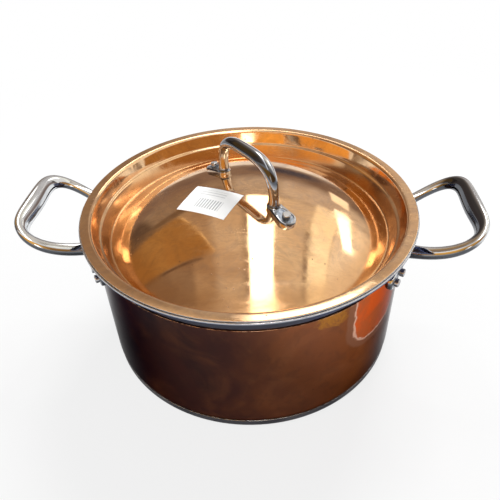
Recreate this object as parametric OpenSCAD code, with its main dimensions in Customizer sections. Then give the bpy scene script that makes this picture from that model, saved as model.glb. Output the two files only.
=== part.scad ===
// Copper clad casserole with two loop handles and a recessed domed lid.
// The origin is the middle of the underside, +Z is up and the side handles lie along X.

/* [Pot] */
// Inside diameter of the pot
inner_d = 239; // [200:1:280]
// Height from the table to the top of the lid's flat edge
pot_h = 124; // [100:1:160]
// Thickness of the drawn steel wall
wall_t = 1.8; // [1.4:0.1:2.4]
// Thickness of the copper sleeve
copper_t = 0.8; // [0.5:0.1:1.2]
// Width of the bare steel band under the rim
band_h = 16.2; // [15:0.2:24]
// How far the rim turns out past the wall
lip_out = 11; // [9:0.5:14]
// Height of the turned out part of the rim
flare_h = 11.8; // [10:0.2:15]

/* [Base] */
// Thickness of the aluminium disc in the base
core_t = 5.2; // [3:0.2:8]
// Thickness of the steel cap under the disc
cap_t = 0.8; // [0.6:0.1:1.2]
// Height of the side of the steel cap
cap_h = 7.6; // [6.8:0.2:8]
// Size of the rounding at the foot of the pot
foot_round = 4; // [3:0.5:5]

/* [Side handles] */
// How far a side handle stands out from the wall
handle_reach = 51.5; // [42:0.5:62]
// Distance between the two legs of a side handle at the grip, middle to middle
handle_span = 90; // [80:1:98]
// Half the thickness of a leg
leg_half = 4.6; // [4:0.1:5.2]
// Half the width of the grip at its ends
grip_half = 4.5; // [4:0.1:5.6]
// Extra half width in the middle of the grip
grip_swell = 0.9; // [0:0.1:2]
// How far the swell leans towards the pot
grip_lean = 0.6; // [0:0.1:2]
// Half the depth of the grip
grip_depth = 5.2; // [4.5:0.1:6]
// Angle at which the grip lies above the feet
handle_rise = 24.5; // [12:0.5:30]
// Depth of the handle feet below the lid's flat edge
foot_drop = 27; // [24:0.5:31]
// Thickness of a handle foot on the wall
pad_t = 3; // [2.4:0.1:4]
// Angle from the handle's middle to the inner rivet
rivet_angle_a = 25; // [24.5:0.5:26]
// Distance between the two rivets of one foot
rivet_gap = 12; // [11.8:0.1:14]

/* [Rivets] */
// Shank diameter of a rivet
shank_d = 5; // [4:0.1:5.6]
// Diameter of the outer end of a rivet
stud_d = 6.2; // [5.8:0.1:7]
// How far the outer end stands out
stud_h = 3; // [2:0.1:3.6]
// Diameter of the flat head inside
head_d = 10; // [8.5:0.5:11]
// Thickness of the flat head inside
head_t = 1.6; // [1.2:0.1:2.2]

/* [Lid] */
// Thickness of the copper top sheet
skin_t = 0.6; // [0.5:0.1:0.8]
// Thickness of the steel sheet under it
pan_t = 0.8; // [0.6:0.1:1]
// Width of the lid's flat edge
flange_w = 7.8; // [5:0.2:9]
// Depth of the steep wall inside the flat edge
plug_depth = 11.4; // [9:0.2:12]
// Depth of the crease around the dome
crease_depth = 23.2; // [18:0.2:26]
// Distance from the steep wall to the crease
crease_in = 7; // [6:0.2:12]
// Height of the dome above the lid's flat edge
dome_rise = 12.4; // [8:0.2:18]
// Clearance between lid and pot
lid_gap = 0.5; // [0.4:0.1:1]
// Gap under the resting lid
rest_gap = 0.3; // [0.2:0.1:0.5]

/* [Lid handle] */
// Turn of the lid handle from the side handles
lid_turn = -51; // [-90:1:90]
// Distance between the legs of the arch, middle to middle
arch_span = 65.5; // [56:0.5:72]
// Height of the arch's middle line above the lid's flat edge
arch_rise = 43.5; // [38:0.5:50]
// Half the thickness of a leg of the arch
arch_leg_half = 3.6; // [3.2:0.1:4.2]
// Half the width of the arch at the top
arch_half = 5.3; // [4.5:0.1:6.5]
// Half the depth of the arch at the top
arch_depth = 4.6; // [4:0.1:5.2]
// Distance from a leg of the arch to its rivet
lid_rivet_out = 13.4; // [12:0.2:15]
// Thickness of a foot of the arch
lid_pad_t = 3.4; // [2.6:0.1:4]

/* [Label] */
// Length of the paper label
label_l = 42.5; // [30:0.5:46]
// Width of the paper label
label_w = 29; // [20:0.5:30]
// Thickness of the paper label
label_t = 0.2; // [0.15:0.05:0.3]
// Turn of the paper label
label_turn = -27; // [-40:1:-15]
// Label middle, sideways
label_x = -27.9; // [-32:0.1:-26]
// Label middle, front to back
label_y = -15.6; // [-20:0.1:-12]

/* [Hidden] */

$fn = 96;

// Heights and radii that follow from the sizes above
inner_r = inner_d / 2;
wall_r = inner_r + wall_t;
sleeve_r = wall_r + copper_t;
pad_r = sleeve_r + pad_t;
lid_t = skin_t + pan_t;
rim_z = pot_h - lid_t - rest_gap;
floor_z = cap_t + core_t + wall_t;
band_z = pot_h - lid_t - band_h;
lip_r = inner_r + lip_out;
cap_r = sleeve_r - 0.6;
hole_gap = 0.1;
overrun = 20;

// Roundings of the sheet profiles
floor_round = 4;
flare_round = 5;
lip_round = 3;
edge_round = 2.2;
step_round = 1.4;
crease_round = 1.8;
corner_steps = 8;
dome_steps = 26;

// Lid profile, from the flat edge inwards
flange_r = lip_r - 1;
flange_in_r = flange_r - flange_w;
plug_r = inner_r - lid_gap - lid_t;
ledge_w = 1.8;
ledge_drop = 0.8;
crease_r = plug_r - crease_in;
flange_tilt = 0.3;
dome_h = dome_rise + crease_depth;
dome_r = (crease_r * crease_r + dome_h * dome_h) / (2 * dome_h);
dome_z = pot_h + dome_rise - dome_r;

// Sweep of the bent bars
quarter_steps = 24;
bar_sides = 22;
handle_power = 5;
handle_b = handle_span / 2;
leg_pinch_share = 0.4;
climb_share = 0.44;
root_flare_share = 0.38;
root_flare_len = 5;
root_turn_len = 8;
handle_root_turn = asin(handle_b * (1 - leg_pinch_share) / (sleeve_r + pad_t / 2));
handle_root = (sleeve_r + pad_t / 2) * cos(handle_root_turn);
handle_a = sleeve_r + handle_reach - handle_root;
arch_power = 3.4;
arch_b = arch_span / 2;
arch_root = dome_r + lid_pad_t / 2;
arch_root_turn = asin(arch_b / arch_root);
arch_foot_z = dome_z + arch_root * cos(arch_root_turn);
arch_a = pot_h + arch_rise - arch_foot_z;

// Outlines of the feet
foot_steps = 18;
pad_heel_half = 7;
pad_tip_half = 6.4;
heel_lead = 0.9;
pad_heel_angle = handle_root_turn + heel_lead;
rivet_angle_b = rivet_angle_a + 180 * rivet_gap / (PI * sleeve_r);
pad_mid_angle = (pad_heel_angle + rivet_angle_b) / 2;
lid_pad_heel_half = 5.4;
lid_pad_tip_half = 7;
lid_rivet_r = arch_b + lid_rivet_out;
lid_pad_tip_r = lid_rivet_r + 1.4;
lid_rivet_angle = asin(lid_rivet_r / dome_r);
stud_round = 0.5;
head_edge = 0.7;
seat_gap = 0.12;
glue_t = 0.05;
label_out_r = norm([label_x, label_y]) + label_l / 2;
label_in_r = norm([label_x, label_y]) - label_l / 2;

copper = [0.78, 0.5, 0.33];
dark_copper = [0.42, 0.22, 0.14];
steel = [0.72, 0.73, 0.75];
aluminium = [0.8, 0.8, 0.82];
paper = [0.97, 0.97, 0.95];

// Unit vector from a to b, and the direction to its left
function unit(a, b) = (b - a) / norm(b - a);
function left_of(d) = [-d.y, d.x];

// Rounds the corner p between a and b with a short curve that starts f away from it
function corner(a, p, b, f) =
    let (u = p + f * unit(p, a), v = p + f * unit(p, b))
    [for (i = [0:corner_steps])
        let (t = i / corner_steps) u * pow(1 - t, 2) + p * 2 * t * (1 - t) + v * pow(t, 2)];

// Shifts a profile sideways by t, keeping its first point on the axis
function shifted(p, t) =
    let (last = len(p) - 1)
    [for (i = [0:last])
        let (
            before = left_of(unit(p[max(i - 1, 0)], p[max(i, 1)])),
            after = left_of(unit(p[min(i, last - 1)], p[min(i + 1, last)])),
            mean = (before + after) / norm(before + after)
        )
        i == 0 ? p[0] + [0, t] : p[i] + mean * t / (mean * after)];

function backwards(p) = [for (i = [len(p) - 1:-1:0]) p[i]];

// Inside of the pot, from the middle of the floor to the lip
floor_corner = [inner_r, floor_z];
flare_start = [inner_r, rim_z - flare_h];
flare_end = [inner_r + lip_out * 0.45, rim_z - 0.3];
lip_end = [lip_r, rim_z];
pot_inside = concat(
    [[0, floor_z]],
    corner([0, floor_z], floor_corner, flare_start, floor_round),
    corner(floor_corner, flare_start, flare_end, flare_round),
    corner(flare_start, flare_end, lip_end, lip_round),
    [lip_end]
);
pot_outside = shifted(pot_inside, -wall_t);
sleeve_outside = shifted(pot_inside, -wall_t - copper_t);

// Base cap, from the middle of the underside up its side
cap_outside = concat(
    [[0, 0]],
    corner([0, 0], [cap_r, 0], [cap_r, cap_h], foot_round),
    [[cap_r, cap_h]]
);
cap_inside = shifted(cap_outside, cap_t);

// Top of the lid, from the top of the dome to the outer edge
flange_in = [flange_in_r, pot_h - flange_tilt];
plug_foot = [plug_r, pot_h - plug_depth];
ledge_in = [plug_r - ledge_w, pot_h - plug_depth - ledge_drop];
crease = [crease_r, pot_h - crease_depth];
dome_edge_r = crease_r - crease_round;
function dome_point(r) = [r, dome_z + sqrt(pow(dome_r, 2) - pow(r, 2))];
lid_top = concat(
    [for (i = [0:dome_steps]) dome_point(dome_edge_r * i / dome_steps)],
    corner(dome_point(dome_edge_r), crease, ledge_in, crease_round),
    corner(crease, ledge_in, plug_foot, step_round * 0.6),
    corner(ledge_in, plug_foot, flange_in, step_round * 0.6),
    corner(plug_foot, flange_in, [flange_r, pot_h], edge_round),
    [[flange_r, pot_h]]
);

// Turns a sheet of constant thickness about the axis
module turned_sheet(upper, lower) {
    rotate_extrude() polygon(concat(upper, backwards(lower)));
}

// Drilled holes for the four rivets of one side handle
module side_holes() {
    for (turn = [-1, 1], a = [rivet_angle_a, rivet_angle_b])
        on_wall(turn * a)
            translate([0, 0, inner_r - overrun])
                cylinder(h = 2 * overrun, d = shank_d + 2 * hole_gap);
}

// Drilled holes for the two rivets of the lid handle
module lid_holes() {
    for (end = [-1, 1])
        on_dome(end)
            translate([0, 0, dome_r])
                cylinder(h = overrun, d = shank_d + 2 * hole_gap, center = true);
}

// Places a piece at the rivet height with its own Z pointing out of the wall
module on_wall(angle) {
    rotate([0, 0, angle])
        translate([0, 0, pot_h - foot_drop])
            rotate([0, 90, 0])
                children();
}

// Places a piece with its Z through the middle of the dome's ball and one lid rivet
module on_dome(end) {
    translate([0, 0, dome_z])
        rotate([0, 0, lid_turn])
            rotate([0, end * lid_rivet_angle, 0])
                children();
}

module pot_body() {
    color(steel)
        difference() {
            turned_sheet(pot_inside, pot_outside);
            side_holes();
            rotate([0, 0, 180]) side_holes();
        }
}

module copper_sleeve() {
    color(dark_copper)
        difference() {
            rotate_extrude()
                intersection() {
                    polygon(concat(pot_outside, backwards(sleeve_outside)));
                    translate([0, cap_h])
                        square([2 * sleeve_r, band_z - cap_h]);
                }
            side_holes();
            rotate([0, 0, 180]) side_holes();
        }
}

module base_disc() {
    color(aluminium)
        rotate_extrude()
            intersection() {
                polygon(concat(cap_inside, [[0, cap_h]]));
                square([2 * cap_r, cap_t + core_t]);
            }
}

module base_cap() {
    color(steel)
        turned_sheet(cap_inside, cap_outside);
}

// Height of a bar at x, which climbs ever more steeply to slope * a at its far end
function climb(x, a, slope) = slope * x * (climb_share + (1 - climb_share) * x / a);

// One ring of a swept bar
function ring(p, along, half_in, half_up, a, slope) =
    let (n = left_of(along))
    [for (k = [0:bar_sides - 1])
        let (f = 360 * k / bar_sides, q = p + n * half_in * cos(f))
        [q.x, q.y, half_up * sin(f) + climb(q.x, a, slope)]];

// Points of a bent bar that leaves the Y axis at -b, reaches a along X and comes back at +b
function bend_angle(i) =
    let (v = i / quarter_steps - 1)
    90 * sign(v) * (1 - pow(sin(90 * (1 - abs(v))), 3));
function signed_power(v, e) = sign(v) * pow(abs(v), e);
function bend_point(i, a, b, n, pinch_share) =
    let (
        t = bend_angle(i),
        x = a * pow(max(cos(t), 0), 2 / n),
        y = b * signed_power(sin(t), 2 / n)
    )
    [x, y * (1 - pinch_share * pow(1 - x / a, 2))];

// The end rings turn by root_turn to lie flat on the foot, whose surface slopes there
module bent_bar(a, b, n, leg, half_in, half_up, swell, lean, pinch_share, root_turn, slope) {
    last = 2 * quarter_steps;
    line = [for (i = [0:last]) bend_point(i, a, b, n, pinch_share)];
    rings = [for (i = [0:last])
        let (
            p = line[i],
            side = i < quarter_steps ? 1 : -1,
            flat = [side * cos(root_turn), -sin(root_turn)],
            flat_share = exp(-p.x / root_turn_len),
            free = unit(line[max(i - 1, 0)], line[min(i + 1, last)]),
            along = unit([0, 0], flat_share * flat + (1 - flat_share) * free),
            out_share = p.x / a,
            mid_share = pow(1 - pow(p.y / b, 2), 3) * pow(out_share, 4),
            flare = 1 + root_flare_share * exp(-p.x / root_flare_len),
            w_in = leg * flare + (half_in - leg) * pow(out_share, 2) + swell * mid_share,
            w_up = leg * flare + (half_up - leg) * pow(out_share, 2) + swell * mid_share / 3
        )
        ring(p - [lean * mid_share, 0], along, w_in, w_up, a, slope)];
    points = [for (r = rings, p = r) p];
    sides = [for (i = [0:last - 1], k = [0:bar_sides - 1])
        let (m = (k + 1) % bar_sides)
        [i * bar_sides + k, (i + 1) * bar_sides + k, (i + 1) * bar_sides + m, i * bar_sides + m]];
    start = [for (k = [0:bar_sides - 1]) k];
    finish = [for (k = [bar_sides - 1:-1:0]) last * bar_sides + k];
    polyhedron(points = points, faces = concat(sides, [start, finish]), convexity = 6);
}

// Points of an arc of the given middle and radius, from one angle to another
function arc(middle, r, from, to) =
    [for (i = [0:foot_steps])
        let (f = from + (to - from) * i / foot_steps)
        middle + r * [cos(f), sin(f)]];

// A long foot with a round heel at y0 and a round tip at y1
module foot_outline(y0, half0, y1, half1) {
    tilt = asin((half0 - half1) / (y1 - y0));
    polygon(concat(
        arc([0, y1], half1, tilt, 180 - tilt),
        arc([0, y0], half0, 180 - tilt, 360 + tilt)
    ));
}

// The two feet that lie on the wall, bent to its curve
module wall_feet() {
    heel = pad_r * sin(pad_heel_angle - pad_mid_angle);
    tip = pad_r * sin(rivet_angle_b - pad_mid_angle);
    difference() {
        intersection() {
            for (side = [0, 1])
                mirror([0, side, 0])
                    on_wall(pad_mid_angle)
                        translate([0, 0, sleeve_r - overrun])
                            linear_extrude(2 * overrun)
                                foot_outline(heel, pad_heel_half, tip, pad_tip_half);
            cylinder(h = pot_h, r = pad_r, $fn = 180);
        }
        cylinder(h = 2 * pot_h, r = sleeve_r, center = true, $fn = 180);
    }
}

module side_handle() {
    color(steel)
        difference() {
            union() {
                wall_feet();
                translate([handle_root, 0, pot_h - foot_drop])
                    bent_bar(
                        handle_a, handle_b, handle_power, leg_half, grip_half, grip_depth,
                        grip_swell, grip_lean, leg_pinch_share, handle_root_turn, tan(handle_rise)
                    );
            }
            side_holes();
        }
}

module handle_right() {
    side_handle();
}

module handle_left() {
    rotate([0, 0, 180]) side_handle();
}

// A stud end with a small bevel, its seat at z = 0
module stud(d, h, bevel) {
    cylinder(h = h - bevel, d = d);
    translate([0, 0, h - bevel])
        cylinder(h = bevel, d1 = d, d2 = d - 2 * bevel);
}

// Rivet through the wall, sleeve and foot, with a flat head inside
module side_rivet(angle) {
    color(steel)
        on_wall(angle) {
            translate([0, 0, inner_r - head_t])
                cylinder(h = pad_r - inner_r + head_t + 1, d = shank_d);
            difference() {
                translate([0, 0, pad_r - 1])
                    stud(stud_d, stud_h + 1, stud_round);
                upright_cylinder(pad_r);
            }
            intersection() {
                translate([0, 0, inner_r])
                    mirror([0, 0, 1])
                        stud(head_d, head_t, head_edge);
                upright_cylinder(inner_r - seat_gap / 2);
            }
        }
}

// The pot's own axis as seen from a rivet, as a cylinder of radius r
module upright_cylinder(r) {
    rotate([0, 90, 0])
        cylinder(h = pot_h, r = r, center = true, $fn = 180);
}

module rivet_left_front_a() { side_rivet(180 + rivet_angle_a); }
module rivet_left_front_b() { side_rivet(180 + rivet_angle_b); }
module rivet_left_back_a() { side_rivet(180 - rivet_angle_a); }
module rivet_left_back_b() { side_rivet(180 - rivet_angle_b); }
module rivet_right_front_a() { side_rivet(-rivet_angle_a); }
module rivet_right_front_b() { side_rivet(-rivet_angle_b); }
module rivet_right_back_a() { side_rivet(rivet_angle_a); }
module rivet_right_back_b() { side_rivet(rivet_angle_b); }

module lid_skin() {
    color(copper)
        difference() {
            turned_sheet(lid_top, shifted(lid_top, -skin_t));
            lid_holes();
        }
}

module lid_pan() {
    color(steel)
        difference() {
            turned_sheet(shifted(lid_top, -skin_t), shifted(lid_top, -lid_t));
            lid_holes();
        }
}

// One foot of the arch, cut from a band that lies on the dome
module dome_foot() {
    intersection() {
        translate([0, 0, pot_h - overrun])
            linear_extrude(3 * overrun)
                foot_outline(arch_b, lid_pad_heel_half, lid_pad_tip_r, lid_pad_tip_half);
        dome_band(lid_pad_t, arch_b - 2 * lid_pad_heel_half, lid_pad_tip_r + 2 * lid_pad_tip_half);
    }
}

// Ring of sheet on the dome between two radii, on the same steps as the lid itself
module dome_band(t, r0, r1) {
    step = dome_edge_r / dome_steps;
    under = [for (i = [floor(r0 / step):ceil(r1 / step)]) dome_point(i * step)];
    rotate_extrude()
        polygon(concat([for (p = under) p + [0, t]], backwards(under)));
}

module lid_handle() {
    color(steel)
        difference() {
            rotate([0, 0, lid_turn + 90]) {
                dome_foot();
                rotate([0, 0, 180]) dome_foot();
                translate([0, 0, arch_foot_z])
                    rotate([0, -90, 0])
                        bent_bar(
                            arch_a, arch_b, arch_power, arch_leg_half, arch_depth, arch_half,
                            0, 0, 0, arch_root_turn, 0
                        );
            }
            lid_holes();
        }
}

module lid_rivet(end) {
    color(steel)
        on_dome(end) {
            translate([0, 0, dome_r - lid_t - seat_gap - head_t / 2])
                cylinder(h = lid_t + seat_gap + head_t / 2 + lid_pad_t + 1, d = shank_d);
            translate([0, 0, dome_r + lid_pad_t])
                stud(stud_d, stud_h, stud_round);
            translate([0, 0, dome_r - lid_t - seat_gap])
                mirror([0, 0, 1])
                    stud(head_d, head_t, head_edge);
        }
}

module lid_rivet_back() { lid_rivet(-1); }
module lid_rivet_front() { lid_rivet(1); }

// A thin paper patch that follows the dome
module lid_label() {
    color(paper)
        intersection() {
            translate([label_x, label_y, pot_h])
                rotate([0, 0, label_turn])
                    translate([-label_l / 2, -label_w / 2, -overrun])
                        cube([label_l, label_w, 3 * overrun]);
            translate([0, 0, glue_t])
                dome_band(label_t, 0.5 * label_in_r, label_out_r + label_w / 2);
        }
}

pot_body();
copper_sleeve();
base_disc();
base_cap();
handle_left();
handle_right();
rivet_left_front_a();
rivet_left_front_b();
rivet_left_back_a();
rivet_left_back_b();
rivet_right_front_a();
rivet_right_front_b();
rivet_right_back_a();
rivet_right_back_b();
lid_skin();
lid_pan();
lid_handle();
lid_rivet_back();
lid_rivet_front();
lid_label();
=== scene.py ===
"""Finish of a copper clad cooking pot: metals, label, handles and the light it stands in."""
import math

import bmesh
import bpy
from mathutils import Matrix, Vector


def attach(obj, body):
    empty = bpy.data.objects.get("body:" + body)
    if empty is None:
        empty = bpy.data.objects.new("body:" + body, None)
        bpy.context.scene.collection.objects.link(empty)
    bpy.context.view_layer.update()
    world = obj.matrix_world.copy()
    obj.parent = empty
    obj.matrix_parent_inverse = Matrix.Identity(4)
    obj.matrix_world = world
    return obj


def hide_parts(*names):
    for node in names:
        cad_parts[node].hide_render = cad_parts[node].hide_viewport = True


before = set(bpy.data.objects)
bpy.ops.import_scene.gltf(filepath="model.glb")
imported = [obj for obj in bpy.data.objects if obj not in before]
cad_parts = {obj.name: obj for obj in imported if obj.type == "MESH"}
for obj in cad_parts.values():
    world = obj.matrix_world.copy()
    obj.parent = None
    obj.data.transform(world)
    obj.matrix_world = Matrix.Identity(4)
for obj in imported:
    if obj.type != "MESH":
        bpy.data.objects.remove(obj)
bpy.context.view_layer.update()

MM = 0.001

# Sizes of the pot, in mm, as in its construction
POT_H = 124
SLEEVE_R = 122.1
FOOT_DROP = 27
PAD_T = 3

# Side handles, in mm
HANDLE_REACH = 51.5
HANDLE_SPAN = 90
LEG_HALF = 4.6
GRIP_HALF = 4.5
GRIP_SWELL = 0.9
GRIP_LEAN = 0.6
GRIP_DEPTH = 5.2
HANDLE_RISE = math.radians(24.5)
HANDLE_POWER = 5
CLIMB_SHARE = 0.44
LEG_PINCH_SHARE = 0.4
RIVET_ANGLE_A = math.radians(25)
RIVET_GAP = 12
RIVET_ANGLE_B = RIVET_ANGLE_A + RIVET_GAP / SLEEVE_R
HEEL_LEAD = math.radians(0.9)
PAD_HEEL_HALF = 7
PAD_TIP_HALF = 6.4
ROOT_FLARE_SHARE = 0.38
ROOT_FLARE_LEN = 5
ROOT_TURN_LEN = 8
ROOT_FILLET = 0.5
HOLLOW_LEAD = 9.5
HOLLOW_HEEL_BORDER = 2.2
HOLLOW_TIP_BORDER = 1.7

# Feet of all handles, in mm
FOOT_ROUND = 1.1
HOLLOW_DIP = 0.5
HOLLOW_SLOPE = 0.3
INNER_RING = 0.3

# Lid, in mm
CREASE_R = 110.6
DOME_RISE = 12.4
CREASE_DEPTH = 23.2
DOME_H = DOME_RISE + CREASE_DEPTH
DOME_R = (CREASE_R ** 2 + DOME_H ** 2) / (2 * DOME_H)
DOME_Z = POT_H + DOME_RISE - DOME_R
FLANGE_R = 129.5
FLANGE_IN_R = 121.7
FLANGE_TILT = 0.3
PLUG_R = 117.6
PLUG_DEPTH = 11.4
LEDGE_W = 1.8
LEDGE_DROP = 0.8
CREASE_ROUND = 1.8
LEDGE_ROUND = 0.84
PLUG_ROUND = 2.2
SKIN_T = 0.6
SKIN_EDGE = 0.25

# Handle of the lid, in mm
LID_TURN = math.radians(-51)
ARCH_SPAN = 65.5
ARCH_RISE = 43.5
ARCH_LEG_HALF = 3.6
ARCH_HALF = 5.3
ARCH_DEPTH = 4.6
ARCH_POWER = 3.4
LID_RIVET_OUT = 13.4
LID_PAD_T = 3.4
LID_PAD_HEEL_HALF = 5.4
LID_PAD_TIP_HALF = 7
LID_PAD_TIP_R = ARCH_SPAN / 2 + LID_RIVET_OUT + 1.4
LID_HOLLOW_LEAD = 8
LID_HOLLOW_HEEL_BORDER = 1.6
LID_HOLLOW_TIP_BORDER = 1.8

# Fineness of the meshes
QUARTER_STEPS = 60
BAR_SIDES = 48
FOOT_STEPS = 24
FOOT_ROUND_STEPS = 6
HOLLOW_STEPS = 4
DOME_STEPS = 64
CORNER_STEPS = 12
TURN_STEPS = 224
SHARP_FROM = math.radians(38)

# Label: its place in mm, and its pattern as stripes per metre, share printed, zone along and across
LABEL_TURN = math.radians(-27)
LABEL_X = -27.9
LABEL_Y = -15.6
UPRIGHT_BARS = (430.0, 0.45, (-0.009, 0.012), (-0.009, 0.001))
LEVEL_LINES = (360.0, 0.3, (-0.013, 0.010), (0.0035, 0.0115))

# Painted reflections on the wall, an orange spot and a gold patch: turn round the axis and half width in
# radians, height and half height in metres
REFLECTED_SPOT = (math.radians(-38), math.radians(14), 0.092, 0.032)
GOLD_REFLECTION = (math.radians(-60), math.radians(7), 0.105, 0.012)

# Where marks and painted light on metals lie, in metres. Each fade runs from nothing to full: the tarnish
# round its middle, both sides of the lid's deep ring with its painted shade, the right end of the wall with
# its painted dark reflection, the grips with their painted shade, and the pot's bare band with its painted
# dark reflection
TARNISH_PLACE = (0.045, 0.055, 0.12)
TARNISH_FADE = (0.065, 0.015)
RING_INNER_FADE = (0.088, 0.102)
RING_OUTER_FADE = (0.118, 0.113)
RIGHT_END_FADE = (0.080, 0.118)
GRIP_FADE = (0.150, 0.166)
BAND_R_FADE = (0.1200, 0.1203)
BAND_Z_FADE = ((POT_H - 2.4) * MM, (POT_H - 3.0) * MM)

# Directions of the bright sides of steel: the further a surface turns from them, the more painted shade it
# has
UPWARD = (0.0, 0.0, 1.0)
LOOP_TOP = (0.0, 0.0, 0.75)
GRIP_SIDE = (0.6, 0.0, -0.07)
ARCH_BRIGHT_SIDE = (0.47, 0.38, 0.45)

# Depth of the relief in metals, in metres
RELIEF = 0.0002
FINE_RELIEF = 0.0001

# Copper of the lid
LID_BRIGHT = (0.94, 0.63, 0.36, 1)
LID_WARM = (0.86, 0.53, 0.28, 1)
LID_STREAK = (0.70, 0.43, 0.25, 1)
LID_TARNISH = (0.50, 0.29, 0.17, 1)
LID_GREASE = (0.60, 0.41, 0.28, 1)
# painted shade for the deep ring round the dome
LID_GROOVE_SHADE = (0.62, 0.33, 0.14, 1)
LID_SPECK = (0.28, 0.15, 0.09, 1)
LID_WORN = (0.98, 0.74, 0.46, 1)

# Copper of the wall. The black, dark, brown, streak and right end tones are painted dark reflections, and
# the spot and gold tones painted bright reflections
WALL_BLACK = (0.048, 0.037, 0.040, 1)
WALL_DARK = (0.115, 0.048, 0.040, 1)
WALL_BROWN = (0.30, 0.105, 0.045, 1)
WALL_REFLECTED_STREAK = (0.34, 0.13, 0.06, 1)
WALL_DULL = (0.11, 0.055, 0.04, 1)
WALL_RIGHT_END = (0.07, 0.045, 0.042, 1)
WALL_SPECK = (0.10, 0.05, 0.03, 1)
WALL_WORN = (0.80, 0.50, 0.34, 1)
WALL_GRAZING_TINT = (0.38, 0.37, 0.38, 1)
SPOT_HALO = (0.33, 0.155, 0.095, 1)
SPOT_BORDER = (0.85, 0.50, 0.36, 1)
SPOT_ORANGE = (0.82, 0.15, 0.045, 1)
SPOT_DEEP = (0.58, 0.15, 0.06, 1)
GOLD_DARK = (0.20, 0.08, 0.03, 1)
GOLD_BRIGHT = (0.72, 0.31, 0.05, 1)

# Kinds of steel: light tone, dark tone, least and greatest roughness
POT_STEEL = ((0.62, 0.64, 0.68, 1), (0.50, 0.52, 0.57, 1), 0.12, 0.22)
LID_STEEL = ((0.66, 0.67, 0.69, 1), (0.56, 0.57, 0.60, 1), 0.2, 0.3)
# painted shade: the base steel is darkened to stand for the shade by the floor
SHADED_BASE_STEEL = ((0.18, 0.18, 0.20, 1), (0.11, 0.11, 0.13, 1), 0.16, 0.28)
HANDLE_STEEL = ((0.74, 0.76, 0.78, 1), (0.64, 0.66, 0.68, 1), 0.03, 0.08)
ARCH_STEEL = ((0.68, 0.69, 0.72, 1), (0.56, 0.57, 0.60, 1), 0.04, 0.09)
RIVET_STEEL = ((0.62, 0.63, 0.66, 1), (0.52, 0.53, 0.56, 1), 0.12, 0.22)

# Marks on steel, cast steel and aluminium
TURNED_SPECK = (0.12, 0.12, 0.13, 1)
TURNED_WORN = (0.92, 0.92, 0.93, 1)
# painted dark reflection on the pot's bare band
BAND_DARK = (0.055, 0.065, 0.13, 1)
BAND_LIGHT = (0.12, 0.13, 0.17, 1)
# painted shade on polished steel
PAINTED_STEEL_SHADE = (0.05, 0.055, 0.068, 1)
POLISHED_SPECK = (0.2, 0.2, 0.21, 1)
POLISHED_WORN = (0.95, 0.95, 0.96, 1)
CAST_DARK = (0.14, 0.17, 0.23, 1)
CAST_LIGHT = (0.44, 0.48, 0.54, 1)
CAST_CLOUD = (0.24, 0.27, 0.34, 1)
CORE_LIGHT = (0.74, 0.75, 0.77, 1)
CORE_DARK = (0.60, 0.61, 0.63, 1)

# Paper
PAPER_WHITE = (0.96, 0.96, 0.95, 1)
PAPER_FIBRE = (0.90, 0.90, 0.89, 1)
PAPER_STAIN = (0.84, 0.82, 0.78, 1)
PAPER_GREY = (0.26, 0.26, 0.28, 1)

# Floor and light
WHITE = (1, 1, 1, 1)
FLOOR_LIGHT = (0.76, 0.76, 0.76, 1)
FLOOR_DARK = (0.72, 0.72, 0.72, 1)
FLOOR_R = 3.0
FLOOR_Z = -0.0002
FLOOR_FADE = (0.26, 0.75)
NEAR_WHITE = 0.80
SOFT_LIGHT = 0.40
LAMP_AIM = Vector((0, 0, 0.08))

# Camera
VIEW_TURN = math.radians(4.24)
VIEW_TILT = math.radians(38.92)
VIEW_ROLL = math.radians(-2.085)
VIEW_PLACE = Vector((0.0254, -0.3429, 0.3511))
FOCAL_SHARE = 521.2 / 500
SENSOR_W = 36.0


# ---- node building ----------------------------------------------------------------------------

FLOAT = "NodeSocketFloat"
VECTOR = "NodeSocketVector"

# Sockets of a Mix node for colours
MIX_SHARE = 0
MIX_LOW = 6
MIX_HIGH = 7
MIX_RESULT = 2


def put(tree, kind, feeds=None, **settings):
    """Adds a node with its settings, and feeds its sockets with values or with other sockets."""
    node = tree.nodes.new(kind)
    for name, value in settings.items():
        setattr(node, name, value)
    for socket, value in (feeds or {}).items():
        if isinstance(value, bpy.types.NodeSocket):
            tree.links.new(value, node.inputs[socket])
        else:
            node.inputs[socket].default_value = value
    return node


def calc(tree, operation, first, second=0.0, third=0.0, clamp=False):
    """Result of one Math node."""
    feeds = {0: first, 1: second, 2: third}
    return put(tree, "ShaderNodeMath", feeds, operation=operation, use_clamp=clamp).outputs[0]


def vector_value(tree, operation, first, second=(0, 0, 0)):
    """Number that one Vector Math node gives."""
    feeds = {0: first, 1: second}
    return put(tree, "ShaderNodeVectorMath", feeds, operation=operation).outputs["Value"]


def vector_calc(tree, operation, first, second):
    """Vector that one Vector Math node gives."""
    feeds = {0: first, 1: second}
    return put(tree, "ShaderNodeVectorMath", feeds, operation=operation).outputs["Vector"]


def xyz(tree, vector):
    """The three numbers of a vector."""
    return tuple(put(tree, "ShaderNodeSeparateXYZ", {0: vector}).outputs)


def joined(tree, x, y, z):
    """Vector of three numbers."""
    return put(tree, "ShaderNodeCombineXYZ", {0: x, 1: y, 2: z}).outputs[0]


def blend_of(tree, share, low, high, mode="MIX"):
    """Colour between two colours."""
    feeds = {MIX_SHARE: share, MIX_LOW: low, MIX_HIGH: high}
    settings = {"data_type": "RGBA", "blend_type": mode, "clamp_factor": True}
    return put(tree, "ShaderNodeMix", feeds, **settings).outputs[MIX_RESULT]


def layered(tree, tone, layers):
    """Tone with other colours over it. Each layer is a mask, the share it covers and a colour."""
    for mask, share, colour in layers:
        tone = blend_of(tree, calc(tree, "MULTIPLY", mask, share), tone, colour)
    return tone


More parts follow.
